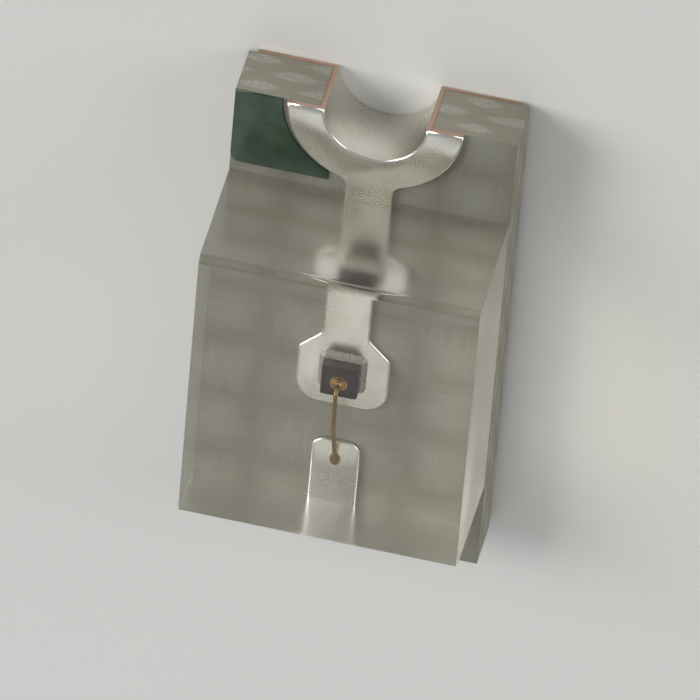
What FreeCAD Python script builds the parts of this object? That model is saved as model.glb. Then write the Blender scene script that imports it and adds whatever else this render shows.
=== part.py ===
"""Chip LED of the 3.2 x 1.6 mm size: a small laminate board with a plated half hole at each end, an LED die
on a bottle-shaped pad, a gold bond wire and a clear moulded epoxy block over the middle.

Millimetres. +X runs from the cathode end to the anode end, +Z is the way the light leaves, and the origin is
the middle of the underside, in the plane of the two solder lands."""

import FreeCAD, Part
import math
import os

V = FreeCAD.Vector

# Package
package_length = 3.2
package_width = 1.6
package_height = 1.1

# Laminate board, with the copper foil of each face outside its core
core_thickness = 0.33
foil_thickness = 0.035

# Plated half hole at each end
notch_radius = 0.29
barrel_wall = 0.03
ring_width = 0.21
etched_corner_radius = 0.07

# Solder land under each end
land_length = 0.6
land_side_setback = 0.05
land_corner_radius = 0.1

# Bottle-shaped die pad of the cathode, centred on the origin, with its neck towards the cathode end
pad_length = 0.52
pad_width = 0.53
pad_corner_radius = 0.14
neck_width = 0.27
shoulder_length = 0.13
shoulder_radius = 0.07

# Bond finger of the anode
isolation_gap = 0.27
finger_width = 0.28
finger_corner_radius = 0.08

# Clear epoxy block, sawn flush at the sides and drafted at the ends, where it left its mould
block_length = 2.0
block_draft_deg = 2.0
block_edge_radius = 0.05

# LED die: a dark substrate, the grown layers that give the light, and a round gold electrode
die_side = 0.21
die_substrate_thickness = 0.15
light_layer_thickness = 0.03
light_layer_setback = 0.008
electrode_diameter = 0.1
electrode_thickness = 0.005

# Silver-filled adhesive under the die: a pool with a low lip, a waist where it leans in, and a thin crest
adhesive_thickness = 0.02
adhesive_margin = 0.032
adhesive_corner_radius = 0.045
adhesive_lip_height = 0.01
adhesive_waist_height = 0.035
adhesive_waist_margin = 0.013
adhesive_waist_radius = 0.02
adhesive_crest_height = 0.06
adhesive_crest_margin = 0.004
adhesive_crest_radius = 0.004

# Gold bond wire: a ball on the die, a loop, and a stitch on the anode's finger
wire_diameter = 0.025
ball_diameter = 0.075
ball_height = 0.02
ball_edge_radius = 0.008
ball_cone_diameter = 0.048
ball_cone_height = 0.016
loop_rise = 0.1
loop_crest_drop = 0.03
loop_crest_length = 0.3
loop_bend_radius = 0.05
loop_shoulder_radius = 0.12
stitch_setback = 0.14
stitch_length = 0.09
stitch_width = 0.06
stitch_thickness = 0.01

# Green ink: one corner of the cathode end on top, and a mark that points at the cathode underneath
ink_thickness = 0.012
ink_clearance = 0.03
corner_mark_length = 0.53
corner_mark_width = 0.56
corner_mark_corner_radius = 0.06
under_mark_bar_length = 0.16
under_mark_bar_width = 0.9
under_mark_stem_length = 0.62
under_mark_stem_width = 0.3
under_mark_corner_radius = 0.04

# Drawing: how much of the shorter run beside a corner its arc may take, and how near counts as touching
corner_share = 0.49
tolerance = 1e-6

# Levels and places that follow
core_bottom = foil_thickness
core_top = core_bottom + core_thickness
board_top = core_top + foil_thickness
end_x = package_length / 2
side_y = package_width / 2
drill_radius = notch_radius + barrel_wall
ring_radius = notch_radius + ring_width
finger_tip_x = pad_length / 2 + isolation_gap
die_bottom = board_top + adhesive_thickness
light_layer_bottom = die_bottom + die_substrate_thickness
electrode_bottom = light_layer_bottom + light_layer_thickness
ball_bottom = electrode_bottom + electrode_thickness


def rounded_path(points, radii, closed):
    """Straight runs through the points, joined by tangent arcs. The runs beside an arc limit its radius."""
    count = len(points)
    edges = []
    first = None
    last = None
    for i in range(count):
        here = points[i]
        if not closed and i in (0, count - 1) or radii[i] == 0:
            enter = leave = here
            arc = None
        else:
            before = points[i - 1] - here
            after = points[(i + 1) % count] - here
            room = corner_share * min(before.Length, after.Length)
            before.normalize()
            after.normalize()
            half = before.getAngle(after) / 2
            setback = min(radii[i] / math.tan(half), room)
            enter = here + before * setback
            leave = here + after * setback
            to_centre = (before + after).normalize()
            middle = here + to_centre * (setback / math.cos(half) - setback * math.tan(half))
            arc = Part.Arc(enter, middle, leave).toShape()
        if last is not None:
            edges.append(Part.LineSegment(last, enter).toShape())
        if arc is not None:
            edges.append(arc)
        first = enter if first is None else first
        last = leave
    if closed:
        edges.append(Part.LineSegment(last, first).toShape())
    return Part.Wire(edges)


def plate(outline, radii, bottom, thickness):
    """A flat plate with the (x, y) outline, each corner with its own radius."""
    points = [V(x, y, bottom) for x, y in outline]
    face = Part.Face(rounded_path(points, radii, True))
    return face.extrude(V(0, 0, thickness))


def centred_block(length, width, bottom, thickness):
    return Part.makeBox(length, width, thickness, V(-length / 2, -width / 2, bottom))


def upright_cylinder(radius, x, bottom, height):
    return Part.makeCylinder(radius, height, V(x, 0, bottom))


def laminate_core():
    """The glass and resin core, drilled on the saw line, so that each end keeps half a hole."""
    core = centred_block(package_length, package_width, core_bottom, core_thickness)
    for end in (-end_x, end_x):
        core = core.cut(upright_cylinder(drill_radius, end, core_bottom, core_thickness))
    return core


def solder_land():
    """The foil under the -X end, with rounded inner corners. Its outer edge is still past the saw line."""
    half = side_y - land_side_setback
    inner = -end_x + land_length
    outer = -end_x - ring_radius
    outline = [(outer, -half), (inner, -half), (inner, half), (outer, half)]
    return plate(outline, [0, land_corner_radius, land_corner_radius, 0], 0, foil_thickness)


def ring_and_track(track):
    """The land round the hole and the track that leaves it. The etch rounds the two corners between them."""
    ring = upright_cylinder(ring_radius, -end_x, core_top, foil_thickness)
    land = ring.fuse(track).removeSplitter()
    corners = []
    for edge in land.Edges:
        low, high = edge.firstVertex().Point, edge.lastVertex().Point
        upright = math.hypot(high.x - low.x, high.y - low.y) < tolerance
        on_ring = abs(math.hypot(low.x + end_x, low.y) - ring_radius) < tolerance
        if upright and on_ring:
            corners.append(edge)
    return land.makeFillet(etched_corner_radius, corners)


def terminal(track):
    """One plated terminal at the -X end: solder land, half barrel, half-ring land and its track."""
    barrel = upright_cylinder(drill_radius, -end_x, 0, board_top)
    metal = solder_land().multiFuse([barrel, ring_and_track(track)])
    metal = metal.cut(upright_cylinder(notch_radius, -end_x, 0, board_top))
    metal = metal.common(centred_block(package_length, package_width, 0, board_top))
    return metal.removeSplitter()


def cathode_terminal():
    """The bottle-shaped pad and its neck, joined to the half ring."""
    start = -end_x + drill_radius
    far = pad_length / 2
    neck = neck_width / 2
    wide = pad_width / 2
    shoulder = -far + shoulder_length
    below = [(start, -neck), (-far, -neck), (shoulder, -wide), (far, -wide)]
    above = [(x, -y) for x, y in reversed(below)]
    radii = [0, shoulder_radius, shoulder_radius, pad_corner_radius]
    return terminal(plate(below + above, radii + radii[::-1], core_top, foil_thickness))


def anode_terminal():
    """The bond finger, drawn at the -X end with the rest of its terminal and then turned to the +X end."""
    start = -end_x + drill_radius
    half = finger_width / 2
    outline = [(start, -half), (-finger_tip_x, -half), (-finger_tip_x, half), (start, half)]
    rounded = [0, finger_corner_radius, finger_corner_radius, 0]
    metal = terminal(plate(outline, rounded, core_top, foil_thickness))
    metal.rotate(V(0, 0, 0), V(0, 0, 1), 180)
    return metal


def corner_mark():
    """Green ink in one corner of the cathode end, stopping short of the half ring and of the epoxy block."""
    inner_x = -end_x + corner_mark_length
    inner_y = -side_y + corner_mark_width
    outline = [(-end_x, -side_y), (inner_x, -side_y), (inner_x, inner_y), (-end_x, inner_y)]
    ink = plate(outline, [0, corner_mark_corner_radius, 0, 0], core_top, ink_thickness)
    return ink.cut(upright_cylinder(ring_radius + ink_clearance, -end_x, core_top, ink_thickness))


def underside_mark():
    """Green ink on the underside, between the lands: a bar on the cathode's side with a stem behind it."""
    bar = under_mark_bar_width / 2
    stem = under_mark_stem_width / 2
    left = -(under_mark_bar_length + under_mark_stem_length) / 2
    step = left + under_mark_bar_length
    right = -left
    below = [(left, -bar), (step, -bar), (step, -stem), (right, -stem)]
    above = [(x, -y) for x, y in reversed(below)]
    return plate(below + above, [under_mark_corner_radius] * 8, core_bottom - ink_thickness, ink_thickness)


def die_substrate():
    return centred_block(die_side, die_side, die_bottom, die_substrate_thickness)


def light_layer():
    """The grown layers, a low mesa set in from the sawn sides of the substrate."""
    top_side = die_side - 2 * light_layer_setback
    return centred_block(top_side, top_side, light_layer_bottom, light_layer_thickness)


def electrode():
    return upright_cylinder(electrode_diameter / 2, 0, electrode_bottom, electrode_thickness)


def rounded_square(side, radius, z):
    half = side / 2
    corners = [V(-half, -half, z), V(half, -half, z), V(half, half, z), V(-half, half, z)]
    return rounded_path(corners, [radius] * 4, True)


def die_adhesive():
    """The pool under the die, with a fillet that leans in and climbs the die's four sides."""
    sections = [
        (0, adhesive_margin, adhesive_corner_radius),
        (adhesive_lip_height, adhesive_margin, adhesive_corner_radius),
        (adhesive_waist_height, adhesive_waist_margin, adhesive_waist_radius),
        (adhesive_crest_height, adhesive_crest_margin, adhesive_crest_radius),
    ]
    outlines = []
    for height, margin, radius in sections:
        outlines.append(rounded_square(die_side + 2 * margin, radius, board_top + height))
    return Part.makeLoft(outlines, True, True).cut(die_substrate())


def wire_ball():
    """The squashed ball of the first bond and the cone that leads into the wire, as one turned form."""
    radius = ball_diameter / 2
    thin = wire_diameter / 2
    top = ball_bottom + ball_height
    profile = [
        V(0, 0, ball_bottom),
        V(radius, 0, ball_bottom),
        V(radius, 0, top),
        V(ball_cone_diameter / 2, 0, top),
        V(thin, 0, top + ball_cone_height),
        V(0, 0, top + ball_cone_height),
    ]
    rounded = [0, ball_edge_radius, ball_edge_radius, 0, 0, 0]
    return Part.Face(rounded_path(profile, rounded, True)).revolve(V(0, 0, 0), V(0, 0, 1), 360)


def bond_wire():
    """The wire rises from its ball, bends over, clears the die's edge and comes down on the finger, where
    its end has been pressed flat."""
    start = V(0, 0, ball_bottom + ball_height)
    crest = start + V(0, 0, loop_rise)
    shoulder = crest + V(loop_crest_length, 0, -loop_crest_drop)
    stitch = V(finger_tip_x + stitch_setback, 0, board_top + stitch_thickness)
    bends = [0, loop_bend_radius, loop_shoulder_radius, 0]
    path = rounded_path([start, crest, shoulder, stitch], bends, False)
    section = Part.Wire(Part.Circle(start, V(0, 0, 1), wire_diameter / 2).toShape())
    loop = path.makePipeShell([section], True, True)
    pressed = Part.Ellipse(V(0, 0, 0), stitch_length / 2, stitch_width / 2).toShape()
    tongue = Part.Face(Part.Wire(pressed)).extrude(V(0, 0, stitch_thickness))
    tongue.translate(V(stitch.x, 0, board_top))
    wire = loop.multiFuse([wire_ball(), tongue])
    under = centred_block(package_length, package_width, 0, board_top)
    return wire.cut(under).removeSplitter()


def encapsulant(buried):
    """The epoxy block, moulded round everything on the middle of the board."""
    rise = package_height - core_top
    foot = block_length / 2
    crown = foot - rise * math.tan(math.radians(block_draft_deg))
    section = [(-foot, core_top), (foot, core_top), (crown, package_height), (-crown, package_height)]
    points = [V(x, -side_y, z) for x, z in section]
    face = Part.Face(rounded_path(points, [0, 0, block_edge_radius, block_edge_radius], True))
    return face.extrude(V(0, package_width, 0)).cut(Part.makeCompound(buried))


def build():
    pieces = {
        "laminate_core": laminate_core(),
        "cathode_terminal": cathode_terminal(),
        "anode_terminal": anode_terminal(),
        "cathode_corner_mark": corner_mark(),
        "underside_mark": underside_mark(),
        "die_adhesive": die_adhesive(),
        "die_substrate": die_substrate(),
        "die_light_layer": light_layer(),
        "die_electrode": electrode(),
        "bond_wire": bond_wire(),
    }
    pieces["encapsulant"] = encapsulant(list(pieces.values()))
    return pieces


os.makedirs("parts", exist_ok=True)
for name, shape in build().items():
    solid = shape.Solids[0] if len(shape.Solids) == 1 else shape
    solid.exportStep(f"parts/{name}.step")
    print(f"{name}: {len(shape.Solids)} solid, {shape.Volume:.6f} mm3, valid {shape.isValid()}")
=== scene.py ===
# %% [markdown]
# A chip LED, dressed for its portrait.
# The part comes in as a fixed frame of solids: board, terminals, die, wire and epoxy, each in its place
# and at its real size of a few millimetres. This lesson gives every one of them the edges, the surface
# and the light that the real thing has. Nothing is moved: a new piece is made where the solid that it
# stands for already is.

import math

import bmesh
import bpy
from mathutils import Matrix, Vector


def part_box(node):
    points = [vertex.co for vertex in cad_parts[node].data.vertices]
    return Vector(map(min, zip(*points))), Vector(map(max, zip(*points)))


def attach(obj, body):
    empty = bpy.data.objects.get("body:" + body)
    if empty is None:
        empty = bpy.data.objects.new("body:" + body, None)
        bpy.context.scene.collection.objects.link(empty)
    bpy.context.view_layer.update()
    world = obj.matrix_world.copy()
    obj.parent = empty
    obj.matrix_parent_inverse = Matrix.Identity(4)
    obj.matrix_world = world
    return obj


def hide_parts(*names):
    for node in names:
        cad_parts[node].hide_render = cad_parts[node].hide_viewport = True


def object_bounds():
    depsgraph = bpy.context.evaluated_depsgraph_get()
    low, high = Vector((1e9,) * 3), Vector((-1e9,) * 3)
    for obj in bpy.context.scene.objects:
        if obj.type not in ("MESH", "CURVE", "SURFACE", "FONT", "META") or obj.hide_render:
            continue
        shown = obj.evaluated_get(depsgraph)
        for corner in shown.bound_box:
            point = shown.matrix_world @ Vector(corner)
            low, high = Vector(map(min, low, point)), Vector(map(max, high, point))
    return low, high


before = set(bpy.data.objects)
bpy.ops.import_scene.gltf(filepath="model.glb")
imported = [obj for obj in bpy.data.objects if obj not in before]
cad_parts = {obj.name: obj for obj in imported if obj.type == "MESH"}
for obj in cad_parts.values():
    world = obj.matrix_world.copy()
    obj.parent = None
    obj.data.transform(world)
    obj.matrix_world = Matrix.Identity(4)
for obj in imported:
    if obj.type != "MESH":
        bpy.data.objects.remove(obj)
cad_box = [list(corner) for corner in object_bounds()]

# %% [markdown]
# Blender works in metres here, and this part is 3.2 mm long. Sizes read better in millimetres and
# micrometres, so each is written as a number times its unit. The levels of the board come from the
# frame's own boxes, so that a new piece lands exactly on the solid below it.

# %% Units and levels
MM = 0.001
UM = 0.000001

core_low, core_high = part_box("laminate_core")
land_low, foil_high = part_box("cathode_terminal")
block_low, block_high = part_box("encapsulant")
die_low, die_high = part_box("die_substrate")
print("board top", round(core_high.z / MM, 3), "foil top", round(foil_high.z / MM, 3), "mm")

# %% [markdown]
# The camera comes first, because everything after it is judged through it. The photograph looks at the
# LED from the cathode's end, about 46 degrees above the board and a little from one side, with the near
# end at the top of the picture. Three values say all of that: where the camera stands, what is up and
# how much the picture's width takes in. From so far away the part has almost no perspective, so the lens
# is very long. An orthographic camera would do as well.

# %% Camera
VIEW_FROM = Vector((-0.681, 0.119, 0.722))
PICTURE_UP = Vector((-0.729, -0.199, -0.654))
PICTURE_WIDTH = 3.9 * MM
CAMERA_DISTANCE = 110 * MM
CLIP_START = CAMERA_DISTANCE / 100
CLIP_END = CAMERA_DISTANCE * 20

def aim_camera():
    """A long lens on the middle of the part, turned to put the near end at the top of the picture."""
    back = VIEW_FROM.normalized()
    right = PICTURE_UP.cross(back).normalized()
    up = back.cross(right)
    lens = bpy.data.cameras.new("camera")
    lens.lens = lens.sensor_width * CAMERA_DISTANCE / PICTURE_WIDTH
    lens.clip_start = CLIP_START
    lens.clip_end = CLIP_END
    camera = bpy.data.objects.new("camera", lens)
    middle = (Vector(cad_box[0]) + Vector(cad_box[1])) / 2
    turned = Matrix((right, up, back)).transposed().to_4x4()
    camera.matrix_world = Matrix.Translation(middle + back * CAMERA_DISTANCE) @ turned
    bpy.context.scene.collection.objects.link(camera)
    bpy.context.scene.camera = camera
    return camera

camera = aim_camera()
print("lens", round(camera.data.lens), "mm")

# %% [markdown]
# Materials could be wired node by node, but then a pattern takes a page. Here they are written as sums.
# A socket wrapped in Signal takes part in plain Python arithmetic, and each operator adds the Math node
# that does it. The reflected forms, such as 1 - mask, work too.

# %% Sums of sockets
class Signal:
    """An output socket that can be added, multiplied and compared."""

    def __init__(self, finish, socket):
        self.finish = finish
        self.socket = socket

    def __add__(self, other):
        return self.finish.math("ADD", self, other)

    def __sub__(self, other):
        return self.finish.math("SUBTRACT", self, other)

    def __rsub__(self, other):
        return self.finish.math("SUBTRACT", other, self)

    def __mul__(self, other):
        return self.finish.math("MULTIPLY", self, other)

    def __gt__(self, other):
        return self.finish.math("GREATER_THAN", self, other)

    def __abs__(self):
        return self.finish.math("ABSOLUTE", self)

    __radd__ = __add__
    __rmul__ = __mul__

print("a Signal takes + - * > and abs")

# %% [markdown]
# A Finish is one material while it is being built. Every node other than the sums comes from its method
# node, which takes the node's type, its settings and what goes into its sockets. The other methods are
# short names for what the finishes below use most. Places inside a finish are in millimetres, measured
# from the middle of the part's underside, so patterns are given in yarns, grains or clouds to a
# millimetre.

# %% A material under construction
class Finish:
    """A material under construction."""

    def __init__(self, name):
        self.material = bpy.data.materials.new(name)
        self.material.use_nodes = True
        self.tree = self.material.node_tree
        self.tree.nodes.clear()
        here = self.node("ShaderNodeTexCoord", output="Object")
        self.place = self.node("ShaderNodeMapping", inputs={"Vector": here, "Scale": (1 / MM,) * 3})
        apart = self.node("ShaderNodeSeparateXYZ", inputs={"Vector": self.place}).socket.node
        self.x, self.y, self.z = [Signal(self, out) for out in apart.outputs]

    def node(self, kind, settings=None, inputs=None, output=0):
        """Adds a node: settings first, then values or links, and returns one output as a Signal."""
        node = self.tree.nodes.new(kind)
        for name, value in (settings or {}).items():
            if name == "stops":
                self.set_stops(node.color_ramp, value)
            else:
                setattr(node, name, value)
        for key, value in (inputs or {}).items():
            if isinstance(value, Signal):
                self.tree.links.new(value.socket, node.inputs[key])
            else:
                node.inputs[key].default_value = value
        return Signal(self, node.outputs[output]) if node.outputs else None

    @staticmethod
    def set_stops(ramp, stops):
        while len(ramp.elements) < len(stops):
            ramp.elements.new(1.0)
        for element, (position, value) in zip(ramp.elements, stops):
            element.position = position
            element.color = (value, value, value, 1)

    def math(self, operation, *values):
        return self.node("ShaderNodeMath", {"operation": operation}, dict(enumerate(values)))

    def noise(self, per_mm, detail=2.0, place=None):
        """Cloudy noise from 0 to 1, with about this many clouds to a millimetre."""
        inputs = {"Vector": place or self.place, "Scale": per_mm, "Detail": detail}
        return self.node("ShaderNodeTexNoise", inputs=inputs)

    def streaks(self, per_mm, detail=2.0):
        """Noise with a number of clouds to a millimetre of its own along each axis."""
        stretched = self.node("ShaderNodeMapping", inputs={"Vector": self.place, "Scale": per_mm})
        return self.noise(1.0, detail, stretched)

    def ramp(self, value, *stops):
        return self.node("ShaderNodeValToRGB", {"stops": stops}, {"Fac": value})

    def tint(self, share, first, second):
        """A colour between two: share 0 is the first."""
        inputs = {0: share, 6: first, 7: second}
        return self.node("ShaderNodeMix", {"data_type": "RGBA"}, inputs, output=2)

    def bump(self, height, depth, below=None):
        """Raises the surface by up to depth where height is 1."""
        inputs = {"Height": height, "Distance": depth, "Strength": 1.0}
        if below is not None:
            inputs["Normal"] = below
        return self.node("ShaderNodeBump", inputs=inputs)

    def shader(self, **inputs):
        """The Principled shader, with its sockets named with underscores."""
        named = {name.replace("_", " "): value for name, value in inputs.items()}
        return self.node("ShaderNodeBsdfPrincipled", inputs=named)

    def done(self, surface):
        self.node("ShaderNodeOutputMaterial", inputs={"Surface": surface})
        return self.material

print("a Finish makes", ", ".join(["noise", "streaks", "ramp", "tint", "bump", "shader"]))

# %% [markdown]
# Colours are easiest to judge on a picture, where they are numbers from 0 to 255 that are bent for the
# eye. A shader wants them in proportion to light, so they are straightened once, here.

# %% Colours
def srgb(red, green, blue):
    """A colour as picked off a picture, 0 to 255, made linear."""
    linear = []
    for value in (red, green, blue):
        share = value / 255
        linear.append(share / 12.92 if share <= 0.04045 else ((share + 0.055) / 1.055) ** 2.4)
    return (*linear, 1.0)

print("a mid grey is", round(srgb(128, 128, 128)[0], 3))

# %% [markdown]
# The board is glass cloth in resin, woven plain: each yarn goes over one neighbour and under the next.
# The sine along the board times the sine across it is positive where the lengthwise yarn is on top and
# negative where the crosswise one is, which makes the chequer of floats. Inside a float the fibres run
# with its yarn, so two stretched noises take turns. A slow noise shifts the place first, because no
# cloth is woven straight.

# %% The weave
YARN_PITCH = 0.43
YARN_WANDER = 0.09
WANDERS_PER_MM = 0.9
CROSS_WANDERS_PER_MM = 1.1
FLOAT_BORDER = ((0.44, 0.0), (0.56, 1.0))
FIBRES_PER_MM = 36
FIBRE_STRETCH = 5

def woven(finish):
    """Two signals for a plain weave seen from above: how high a float stands, and the fibres in it."""
    x = finish.x + finish.noise(WANDERS_PER_MM, detail=1.0) * YARN_WANDER
    y = finish.y + finish.noise(CROSS_WANDERS_PER_MM, detail=1.0) * YARN_WANDER
    half_turn = math.pi / YARN_PITCH
    over = finish.math("SINE", x * half_turn) * finish.math("SINE", y * half_turn)
    lengthwise = finish.ramp(over * 0.5 + 0.5, *FLOAT_BORDER)
    along = finish.streaks((FIBRE_STRETCH, FIBRES_PER_MM, 1))
    across = finish.streaks((FIBRES_PER_MM, FIBRE_STRETCH, 1))
    fibres = along * lengthwise + across * (1 - lengthwise)
    return abs(over), fibres

print("yarns along the board:", round((core_high.x - core_low.x) / MM / YARN_PITCH, 1))

# %% [markdown]
# The saw has cut the board's four sides. There each ply shows as a row of pale lenses, the cut ends of
# the yarns that the saw crossed, shifted by half a yarn from ply to ply. A cosine along the side plus
# one up the ply is highest in the middle of each lens, and a ramp cuts it off at the lens's outline.
# Slow noises added to the place and to the sum make the lenses uneven, a quick one makes their outline
# ragged, and the finest one shows the filaments of the cut yarn. Long streaks fill what lies between.

# %% Sawn plies
PLY_COUNT = 3
PLY_WAVE = 0.3
PLY_WAVES_PER_MM = 1.6
LENS_SCATTER = 0.8
SCATTERS_PER_MM = 2.0
LENS_SLOPE = 0.3
LENS_FILL = 0.18
LENS_UNEVEN = 0.24
UNEVEN_PER_MM = 3.2
LENS_FRINGE = 0.16
FRINGES_PER_MM = 14.0
LENS_BORDER = ((0.42, 0.0), (0.7, 1.0))
FILAMENTS_PER_MM = 60.0
FILAMENT_BORDER = ((0.35, 0.0), (0.65, 1.0))
LENS_PALE = 0.25
FILAMENT_PALE = 0.45
STREAK_PALE = 0.5
STREAKS_PER_MM = (6, 6, 70)

def sawn_plies(finish):
    """How pale the sawn side is: lenses of cut yarn in rows, and streaks between them."""
    ply = (core_high.z - core_low.z) / MM / PLY_COUNT
    wave = finish.noise(PLY_WAVES_PER_MM, detail=1.0) * PLY_WAVE
    level = (finish.z - core_low.z / MM) * (1 / ply) + wave
    row = finish.math("FLOOR", level)
    shifted = (finish.x + finish.y) * (1 / YARN_PITCH) + row * 0.5
    place = shifted + finish.noise(SCATTERS_PER_MM) * LENS_SCATTER
    across = finish.math("COSINE", place * (2 * math.pi))
    up = finish.math("COSINE", (level - row - 0.5) * (2 * math.pi))
    fringe = finish.noise(FRINGES_PER_MM, detail=3.0) * LENS_FRINGE
    ragged = fringe + finish.noise(UNEVEN_PER_MM, detail=1.0) * LENS_UNEVEN
    hills = across * LENS_SLOPE + up * LENS_SLOPE + ragged + LENS_FILL
    lenses = finish.ramp(hills, *LENS_BORDER)
    filaments = finish.ramp(finish.noise(FILAMENTS_PER_MM, detail=1.0), *FILAMENT_BORDER)
    streaks = finish.streaks(STREAKS_PER_MM, detail=3.0)
    return lenses * (LENS_PALE + filaments * FILAMENT_PALE) + streaks * STREAK_PALE

print("plies of", round((core_high.z - core_low.z) / UM / PLY_COUNT), "micrometres")

# %% [markdown]
# Now the board's finish as a whole. On the top and the underside the weave shows through the resin, and
# on the sides the cut plies do. Sawn faces are told from the others by their distance from the middle:
# whatever lies within a skin of 2 micrometres of the saw's plane is sawn. The cut is duller, and its
# yarns stand a few micrometres proud of the resin.

# %% Laminate finish
SAWN_SKIN = 0.002
WEAVE_RELIEF = 2.5 * UM
FIBRE_RELIEF_SHARE = 0.08
SAWN_RELIEF = 4 * UM
RESIN = srgb(119, 116, 104)
FLOAT = srgb(144, 142, 131)
SAWN_RESIN = srgb(136, 131, 115)
SAWN_YARN = srgb(174, 171, 159)
CLOUDS_PER_MM = 2.2
TOP_MIX = 0.4
TOP_BORDER = ((0.3, 0.0), (0.85, 1.0))
BOARD_ROUGH = 0.4
FIBRE_ROUGH = 0.08
SAWN_BOARD_ROUGH = 0.3

def laminate_finish():
    finish = Finish("woven laminate")
    height, fibres = woven(finish)
    cloudy = finish.noise(CLOUDS_PER_MM, detail=4.0)
    share = height * TOP_MIX + fibres * TOP_MIX + cloudy * TOP_MIX
    top_colour = finish.tint(finish.ramp(share, *TOP_BORDER), RESIN, FLOAT)

    past_x = abs(finish.x) > core_high.x / MM - SAWN_SKIN
    past_y = abs(finish.y) > core_high.y / MM - SAWN_SKIN
    sawn = finish.math("MAXIMUM", past_x, past_y)
    plies = sawn_plies(finish)
    colour = finish.tint(sawn, top_colour, finish.tint(plies, SAWN_RESIN, SAWN_YARN))

    cloth = height * (1 - FIBRE_RELIEF_SHARE) + fibres * FIBRE_RELIEF_SHARE
    relief = finish.bump(cloth, WEAVE_RELIEF)
    cut = finish.bump(plies * sawn, SAWN_RELIEF, relief)
    rough = BOARD_ROUGH + fibres * FIBRE_ROUGH + sawn * SAWN_BOARD_ROUGH
    return finish.done(finish.shader(Base_Color=colour, Roughness=rough, Normal=cut))

laminate = laminate_finish()
print("laminate:", len(laminate.node_tree.nodes), "nodes")

# %% [markdown]
# The terminals are copper under nickel and silver. Plating copies the grain of the copper, so the metal
# is satin, not a mirror, and it has gone a little warm and uneven, as silver does. Metallic 1 with a
# pale colour gives the metal. Fine noise in the roughness and the bump gives the grain, and a long
# stretched one the faint lines that the rolling mill has left in the foil. The saw parts the LEDs after
# plating, so on the two end faces it lays the copper bare, and there the colour and the grain change.
# The photograph has a bright glint at each end of the half ring. A likely cause is that the saw drags
# the soft foil down a little, so that its last stretch mirrors the light that comes over the epoxy. A
# bump that falls away towards the cut, ever faster, gives that without a change to the shape.

# %% Plating finish
SILVER = srgb(238, 236, 228)
DULL_SILVER = srgb(212, 207, 192)
COPPER = srgb(196, 150, 124)
COPPER_SHARE = 0.75
GRAINS_PER_MM = 85.0
GRAIN_RELIEF = 0.2 * UM
ROLLED_PER_MM = (4, 60, 4)
ROLLING_RELIEF = 0.25 * UM
PATCHES_PER_MM = 2.6
PATCH_BORDER = ((0.35, 0.0), (0.75, 1.0))
SATIN_ROUGH = 0.15
PATCH_ROUGH = 0.12
GRAIN_ROUGH = 0.1
SAWN_COPPER_ROUGH = 0.15
END_SAG = 14 * UM
END_SAG_LENGTH = 0.2

def plating_finish():
    finish = Finish("terminal plating")
    grain = finish.noise(GRAINS_PER_MM, detail=3.0)
    patches = finish.noise(PATCHES_PER_MM, detail=4.0)
    silver = finish.tint(finish.ramp(patches, *PATCH_BORDER), SILVER, DULL_SILVER)
    cut = abs(finish.x) > core_high.x / MM - SAWN_SKIN
    colour = finish.tint(cut * COPPER_SHARE, silver, COPPER)
    plated = SATIN_ROUGH + patches * PATCH_ROUGH + grain * GRAIN_ROUGH
    rough = plated + cut * SAWN_COPPER_ROUGH

    past = (abs(finish.x) - (core_high.x / MM - END_SAG_LENGTH)) * (1 / END_SAG_LENGTH)
    reach = finish.math("MAXIMUM", past, 0)
    sagging = finish.bump(1 - reach * reach, END_SAG)
    rolling = finish.bump(finish.streaks(ROLLED_PER_MM), ROLLING_RELIEF, sagging)
    normal = finish.bump(grain, GRAIN_RELIEF, rolling)
    return finish.done(finish.shader(Base_Color=colour, Metallic=1.0, Roughness=rough, Normal=normal))

plating = plating_finish()
print("plating:", len(plating.node_tree.nodes), "nodes")

# %% [markdown]
# Bond wire and electrode are gold. One flat colour would do from afar, but close up it looks painted.
# So a noise mixes two depths of gold and varies the gloss with them. Drawn wire is smooth, so it only
# has a trace of unevenness.

# %% Gold finish
GOLD = srgb(176, 142, 88)
DEEP_GOLD = srgb(148, 114, 66)
GOLD_PATCHES_PER_MM = 24.0
GOLD_GRAINS_PER_MM = 120.0
GOLD_RELIEF = 0.15 * UM
GOLD_ROUGH = 0.2
GOLD_PATCH_ROUGH = 0.12

def gold_finish():
    finish = Finish("drawn gold")
    patches = finish.noise(GOLD_PATCHES_PER_MM)
    colour = finish.tint(patches, GOLD, DEEP_GOLD)
    rough = GOLD_ROUGH + patches * GOLD_PATCH_ROUGH
    normal = finish.bump(finish.noise(GOLD_GRAINS_PER_MM), GOLD_RELIEF)
    return finish.done(finish.shader(Base_Color=colour, Metallic=1.0, Roughness=rough, Normal=normal))

gold = gold_finish()
print("gold:", len(gold.node_tree.nodes), "nodes")

# %% [markdown]
# The die is a crystal. Its sides are rough where the saw went halfway and smooth where the rest was
# snapped. Two materials would need its faces split there, so one material tells them by their height.
# Its top is the shiny grown layer, almost black in daylight with a trace of brown.

# %% Die finishes
CRYSTAL = srgb(38, 34, 31)
SAWN_CRYSTAL = srgb(62, 57, 52)
CRYSTAL_STREAKS_PER_MM = (60, 60, 8)
CRYSTAL_RELIEF = 0.8 * UM
SNAPPED_ROUGH = 0.22
SAWN_CRYSTAL_ROUGH = 0.3
LAYER = srgb(46, 30, 20)
HAZES_PER_MM = 30.0
LAYER_RELIEF = 0.1 * UM
LAYER_ROUGH = 0.12
HAZE_ROUGH = 0.1

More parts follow.
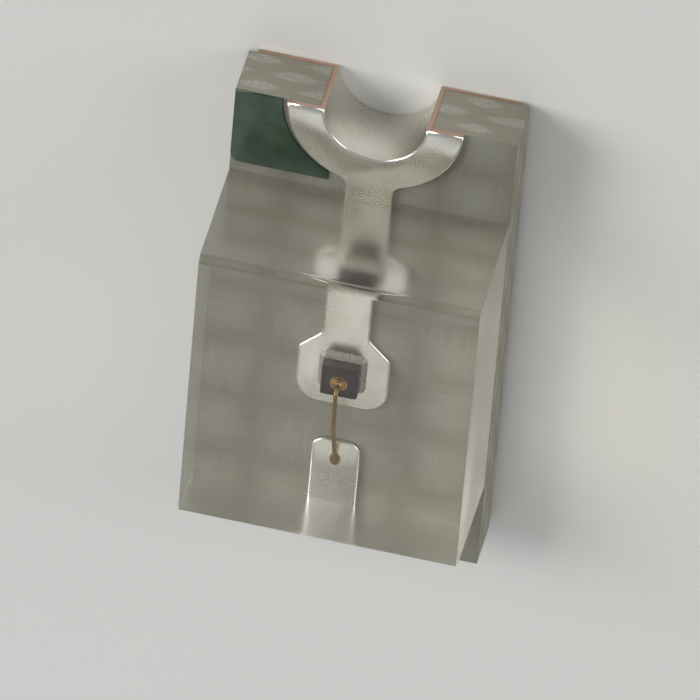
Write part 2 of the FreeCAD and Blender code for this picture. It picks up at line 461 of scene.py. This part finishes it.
def crystal_finish():
    finish = Finish("die crystal")
    sawn = finish.z > (die_low.z + die_high.z) / 2 / MM
    streaks = finish.streaks(CRYSTAL_STREAKS_PER_MM)
    colour = finish.tint(sawn * streaks, CRYSTAL, SAWN_CRYSTAL)
    rough = SNAPPED_ROUGH + sawn * SAWN_CRYSTAL_ROUGH
    normal = finish.bump(streaks * sawn, CRYSTAL_RELIEF)
    return finish.done(finish.shader(Base_Color=colour, Roughness=rough, Normal=normal))

def layer_finish():
    finish = Finish("light layer")
    haze = finish.noise(HAZES_PER_MM)
    colour = finish.tint(haze, LAYER, CRYSTAL)
    rough = LAYER_ROUGH + haze * HAZE_ROUGH
    normal = finish.bump(haze, LAYER_RELIEF)
    return finish.done(finish.shader(Base_Color=colour, Roughness=rough, Normal=normal))

crystal = crystal_finish()
layer = layer_finish()
print("die finishes:", crystal.name, "and", layer.name)

# %% [markdown]
# The adhesive under the die is resin full of silver flakes. Noise would make it cloudy. The cells of a
# Voronoi pattern are a better likeness of flakes, and the distance to the middle of the nearest one
# gives the colour, the gloss and the relief.

# %% Adhesive finish
FLAKE = srgb(196, 192, 182)
FLAKE_SHADE = srgb(120, 116, 108)
FLAKES_PER_MM = 110.0
FLAKE_RELIEF = 1.0 * UM
ADHESIVE_METAL = 0.7
ADHESIVE_ROUGH = 0.4
FLAKE_ROUGH = 0.2

def adhesive_finish():
    finish = Finish("silver adhesive")
    inputs = {"Vector": finish.place, "Scale": FLAKES_PER_MM}
    cells = finish.node("ShaderNodeTexVoronoi", inputs=inputs, output="Distance")
    colour = finish.tint(cells, FLAKE, FLAKE_SHADE)
    rough = ADHESIVE_ROUGH + cells * FLAKE_ROUGH
    normal = finish.bump(cells, FLAKE_RELIEF)
    looks = {"Base_Color": colour, "Metallic": ADHESIVE_METAL, "Roughness": rough, "Normal": normal}
    return finish.done(finish.shader(**looks))

adhesive = adhesive_finish()
print("adhesive:", len(adhesive.node_tree.nodes), "nodes")

# %% [markdown]
# The polarity marks are screen-printed ink: a dark bottle green under a thin gloss, a little uneven in
# its thickness. The frame has each as a thin solid, so the ink needs no mask. Where it is thinner, it is
# paler and lies lower, so one noise drives both.

# %% Ink finish
INK = srgb(42, 64, 48)
THIN_INK = srgb(62, 86, 66)
INK_CLOUDS_PER_MM = 9.0
THIN_BORDER = ((0.35, 0.0), (0.75, 1.0))
INK_RELIEF = 1.5 * UM
INK_ROUGH = 0.28
INK_CLOUD_ROUGH = 0.15
INK_GLOSS = 0.3

def ink_finish():
    finish = Finish("green ink")
    cloudy = finish.noise(INK_CLOUDS_PER_MM, detail=4.0)
    colour = finish.tint(finish.ramp(cloudy, *THIN_BORDER), INK, THIN_INK)
    rough = INK_ROUGH + cloudy * INK_CLOUD_ROUGH
    normal = finish.bump(1 - cloudy, INK_RELIEF)
    surface = finish.shader(Base_Color=colour, Roughness=rough, Normal=normal, Coat_Weight=INK_GLOSS)
    return finish.done(surface)

ink = ink_finish()
print("ink:", len(ink.node_tree.nodes), "nodes")

# %% [markdown]
# The epoxy is clear, with a breath of yellow. The roof of the mould is polished and its end walls are
# not, so the top is as clear as glass and the two ends are slightly matte, which softens the second
# view of the die that each of them gives. The saw that parted the LEDs left the long sides with fine
# parallel marks and a frost. A Principled shader with full transmission bends the view as real epoxy
# does, and its roughness blurs it. The drafted ends are told by a thicker skin than the upright sides.
# Lamps can't be seen through glass by a renderer that aims at them, so for shadow rays alone the shader
# is swapped for a plain transparent one, and the board below gets its light. That lets light go straight
# through. At the two ends a real block turns much of it aside, so there only a share is let through.

# %% Epoxy finish
EPOXY = srgb(252, 251, 245)
EPOXY_SHADE = srgb(240, 238, 229)
EPOXY_IOR = 1.53
CLEAR_ROUGH = 0.02
END_ROUGH = 0.2
SAWN_ROUGH = 0.3
MARK_ROUGH = 0.2
SAW_MARKS_PER_MM = (5, 1, 90)
SAW_MARK_RELIEF = 2.5 * UM
MOULD_WAVES_PER_MM = 1.4
MOULD_RELIEF = 2 * UM
SIDE_SKIN = 0.004
END_SKIN = 0.03
END_LOSS = 0.6

def epoxy_finish():
    finish = Finish("clear epoxy")
    sawn = abs(finish.y) > block_high.y / MM - SIDE_SKIN
    ends = abs(finish.x) > block_high.x / MM - END_SKIN
    marks = finish.streaks(SAW_MARKS_PER_MM, detail=3.0)
    rough = ends * END_ROUGH + sawn * (marks * MARK_ROUGH + SAWN_ROUGH) + CLEAR_ROUGH
    moulded = finish.bump(finish.noise(MOULD_WAVES_PER_MM, detail=1.0), MOULD_RELIEF)
    clear = finish.shader(
        Base_Color=EPOXY,
        Roughness=rough,
        Normal=finish.bump(marks * sawn, SAW_MARK_RELIEF, moulded),
        Transmission_Weight=1.0,
        IOR=EPOXY_IOR,
    )
    shade = finish.node("ShaderNodeBsdfTransparent", inputs={"Color": EPOXY_SHADE})
    lamp_ray = finish.node("ShaderNodeLightPath", output="Is Shadow Ray")
    passed = lamp_ray * (1 - ends * END_LOSS)
    return finish.done(finish.node("ShaderNodeMixShader", inputs={0: passed, 1: clear, 2: shade}))

epoxy = epoxy_finish()
print("epoxy:", len(epoxy.node_tree.nodes), "nodes")

# %% [markdown]
# A solid from the frame has knife edges. Real edges are softer, and a soft edge is what catches the
# light. The frame's own mesh may not be changed, so a copy is merged, its flat triangles are joined into
# whole faces, and the edges that are free on the real part are bevelled. The new piece then stands for
# the solid. Weighted normals keep the flats flat beside their rounded edges, and an edge that turns by
# more than 50 degrees stays hard in the shading.

# %% Softened copies
BEND = math.radians(30)
HARD = math.radians(50)
FLAT = math.radians(1)
MERGE = 0.01 * UM
LEVEL = 0.5 * UM

def lies_at(edge, level):
    """True if both ends of an edge are at this height."""
    return all(abs(v.co.z - level) < LEVEL for v in edge.verts)

def round_off(shape, edges, radius, segments):
    """Rounds edges of a bmesh, with arcs of this many segments."""
    bmesh.ops.bevel(
        shape, geom=edges, offset=radius, offset_type="OFFSET", segments=segments,
        profile=0.5, affect="EDGES", material=-1, clamp_overlap=True,
    )

def settle(shape, name):
    """Turns a bmesh into a mesh."""
    mesh = bpy.data.meshes.new(name)
    shape.to_mesh(mesh)
    shape.free()
    return mesh

def adopt(name, mesh, finish, node):
    """Makes a mesh an object that rides on the part, stands for a node and has the node's finish."""
    mesh.set_sharp_from_angle(angle=HARD)
    mesh.materials.append(finish)
    mesh.polygons.foreach_set("use_smooth", [True] * len(mesh.polygons))
    piece = bpy.data.objects.new(name, mesh)
    bpy.context.scene.collection.objects.link(piece)
    even = piece.modifiers.new("even shading", "WEIGHTED_NORMAL")
    even.keep_sharp = True
    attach(piece, "root")
    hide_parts(node)
    return piece

def soften(node, name, finish, radius, segments, free_edge):
    """A copy of a node with the edges that free_edge picks rounded to a radius."""
    shape = bmesh.new()
    shape.from_mesh(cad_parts[node].data)
    bmesh.ops.remove_doubles(shape, verts=shape.verts, dist=MERGE)
    bmesh.ops.dissolve_limit(shape, angle_limit=FLAT, verts=shape.verts, edges=shape.edges)
    edges = [e for e in shape.edges if e.calc_face_angle(0) > BEND and free_edge(e)]
    round_off(shape, edges, radius, segments)
    piece = adopt(name, settle(shape, name), finish, node)
    print(name, "has", len(piece.data.polygons), "faces, with", len(edges), "edges rounded")

print("edges that turn by more than", round(math.degrees(BEND)), "degrees can be rounded")

# %% [markdown]
# The two terminals. The etch and the plating on top of it round the edges of the foil over almost half
# its thickness, and that rim is what draws a bright line round the ring, the pad and the finger. So the
# top edges are rounded, and those of the solder lands underneath, also where the saw has parted the
# foil, for it smears the soft metal a little. Where the foil meets the board, the edge stays sharp,
# because there it has a foot.

# %% Terminals
FOIL_EDGE = 14 * UM
FOIL_EDGE_STEPS = 4

def open_foil_edge(edge):
    return lies_at(edge, foil_high.z) or lies_at(edge, land_low.z)

foil_rim = (FOIL_EDGE, FOIL_EDGE_STEPS, open_foil_edge)
soften("cathode_terminal", "cathode_plating", plating, *foil_rim)
soften("anode_terminal", "anode_plating", plating, *foil_rim)

# %% [markdown]
# The board's sawn edges are only a little worn. The ink lies in a film whose top edge is drawn round by
# its own surface tension. Both are softened as the terminals were, each with its own radius and its own
# pick of edges.

# %% Board and ink
SAWN_EDGE = 3 * UM
SAWN_EDGE_STEPS = 2
INK_EDGE = 7 * UM
INK_EDGE_STEPS = 3
ink_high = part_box("cathode_corner_mark")[1]
under_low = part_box("underside_mark")[0]

def sawn_edge(edge):
    return edge.is_convex

def film_edge(edge):
    return lies_at(edge, ink_high.z) or lies_at(edge, under_low.z)

soften("laminate_core", "board", laminate, SAWN_EDGE, SAWN_EDGE_STEPS, sawn_edge)
soften("cathode_corner_mark", "corner_ink", ink, INK_EDGE, INK_EDGE_STEPS, film_edge)
soften("underside_mark", "underside_ink", ink, INK_EDGE, INK_EDGE_STEPS, film_edge)

# %% [markdown]
# The die's edges are nearly sharp, for a crystal chips before it wears. The wire, its ball, the
# electrode and the adhesive are already round, so those solids stay and only get their finish.

# %% Die, adhesive and wire
CRYSTAL_EDGE = 1.5 * UM
CRYSTAL_EDGE_STEPS = 2

def every_edge(edge):
    return True

soften("die_substrate", "die_crystal", crystal, CRYSTAL_EDGE, CRYSTAL_EDGE_STEPS, every_edge)
soften("die_light_layer", "die_layer", layer, CRYSTAL_EDGE, CRYSTAL_EDGE_STEPS, every_edge)

def refinish(node, finish):
    """Gives a node of the frame a new material."""
    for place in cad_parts[node].material_slots:
        place.material = finish
    print(node, "is finished in", finish.name)

refinish("die_adhesive", adhesive)
refinish("die_electrode", gold)
refinish("bond_wire", gold)

# %% [markdown]
# The epoxy block. The solid in the frame is hollow where the die and the wire are, and a renderer would
# see those walls as thin gaps of air. On the real part the epoxy wets everything, with no air between.
# So the block is made new as one closed body that goes right through them: a cube whose two ends lean
# in by the mould's draft, with the top edges of those ends rounded as in the mould. The saw made the
# long sides, so their edges are crisp. The block reaches a hair into the board, and its sides stand a
# hair inside the board's, so that no two faces lie in the same plane.
# The edges at its foot turn by nearly a right angle and stay hard. If they were smooth, the shading of
# both ends would lean towards the hidden underside, and the ends would bend the view the wrong way.

# %% Epoxy block
BLOCK_DRAFT = math.radians(2)
BLOCK_EDGE = 50 * UM
BLOCK_EDGE_STEPS = 8
SAWN_BLOCK_EDGE = 4 * UM
SUNK = 2 * UM
INSET = 1.5 * UM

def epoxy_block():
    low = Vector((block_low.x, block_low.y + INSET, block_low.z - SUNK))
    high = Vector((block_high.x, block_high.y - INSET, block_high.z))
    placed = Matrix.Translation((low + high) / 2) @ Matrix.Diagonal((*(high - low), 1))
    shape = bmesh.new()
    bmesh.ops.create_cube(shape, size=1, matrix=placed)

    top = [v for v in shape.verts if v.co.z > block_low.z]
    lean = (high.z - block_low.z) * math.tan(BLOCK_DRAFT)
    bmesh.ops.scale(shape, vec=(1 - lean / block_high.x, 1, 1), verts=top)
    crown = [e for e in shape.edges if lies_at(e, high.z) and e.verts[0].co.x * e.verts[1].co.x > 0]
    round_off(shape, crown, BLOCK_EDGE, BLOCK_EDGE_STEPS)

    sharp = [e for e in shape.edges if e.calc_face_angle(0) > BEND]
    sawn = [e for e in sharp if not lies_at(e, low.z)]
    round_off(shape, sawn, SAWN_BLOCK_EDGE, SAWN_EDGE_STEPS)
    return adopt("epoxy_block", settle(shape, "epoxy_block"), epoxy, "encapsulant")

block = epoxy_block()
print("epoxy block has", len(block.data.polygons), "faces")

# %% [markdown]
# The part lies on a pale floor, a hair below its solder lands so that the two don't share a plane. The
# floor could be one flat colour, but very broad, faint clouds keep it from looking like a void.

# %% Floor
FLOOR_SIZE = 600 * MM
FLOOR_GAP = 1 * UM
FLOOR = srgb(232, 231, 227)
PALE_FLOOR = srgb(238, 237, 234)
FLOOR_CLOUDS_PER_MM = 0.02
FLOOR_ROUGH = 0.7

def lay_floor():
    shape = bmesh.new()
    bmesh.ops.create_grid(shape, x_segments=1, y_segments=1, size=FLOOR_SIZE / 2)
    bmesh.ops.translate(shape, vec=(0, 0, -FLOOR_GAP), verts=shape.verts)
    mesh = settle(shape, "floor")
    paint = Finish("floor")
    colour = paint.tint(paint.noise(FLOOR_CLOUDS_PER_MM), FLOOR, PALE_FLOOR)
    mesh.materials.append(paint.done(paint.shader(Base_Color=colour, Roughness=FLOOR_ROUGH)))
    floor = bpy.data.objects.new("floor", mesh)
    bpy.context.scene.collection.objects.link(floor)

lay_floor()
print("floor", round(FLOOR_SIZE / MM), "mm wide")

# %% [markdown]
# The light: a pale surround, and three soft lamps over a hundred times as far off as the part is long,
# so that the light is even over the whole of it. The key lamp stands low at the picture's left side,
# runs along the board and rounds the rims. The window lamp stands beyond the far end, 46 degrees up,
# where the flat plating mirrors to, so it decides how bright the pad looks. The rim lamp stands low on
# the right, for the glints of the plated edges there.
# No lamp stands low beyond the near end, because the far end of the epoxy would show it to the camera
# in the bond finger, as a glare.

# %% Light
SURROUND = srgb(226, 228, 230)
SURROUND_STRENGTH = 0.42
LAMP_DISTANCE = 400 * MM

def hang_lamp(name, direction, size, power):
    """A square lamp that faces the part."""
    lamp = bpy.data.lights.new(name, "AREA")
    lamp.shape = "SQUARE"
    lamp.size = size
    lamp.energy = power
    holder = bpy.data.objects.new(name, lamp)
    away = Vector(direction).normalized()
    facing = away.to_track_quat("Z", "Y").to_matrix().to_4x4()
    holder.matrix_world = Matrix.Translation(away * LAMP_DISTANCE) @ facing
    bpy.context.scene.collection.objects.link(holder)

def set_surround(colour, strength):
    world = bpy.data.worlds.new("surround")
    world.use_nodes = True
    sky = world.node_tree.nodes["Background"]
    sky.inputs["Color"].default_value = colour
    sky.inputs["Strength"].default_value = strength
    bpy.context.scene.world = world

hang_lamp("key", direction=(-0.35, -0.85, 0.55), size=250 * MM, power=1.0)
hang_lamp("window", direction=(0.68, -0.12, 0.72), size=300 * MM, power=0.13)
hang_lamp("rim", direction=(-0.5, 0.9, 0.35), size=200 * MM, power=0.32)
set_surround(SURROUND, SURROUND_STRENGTH)
bpy.context.scene.view_settings.view_transform = "Standard"
print("lamps:", len(bpy.data.lights))
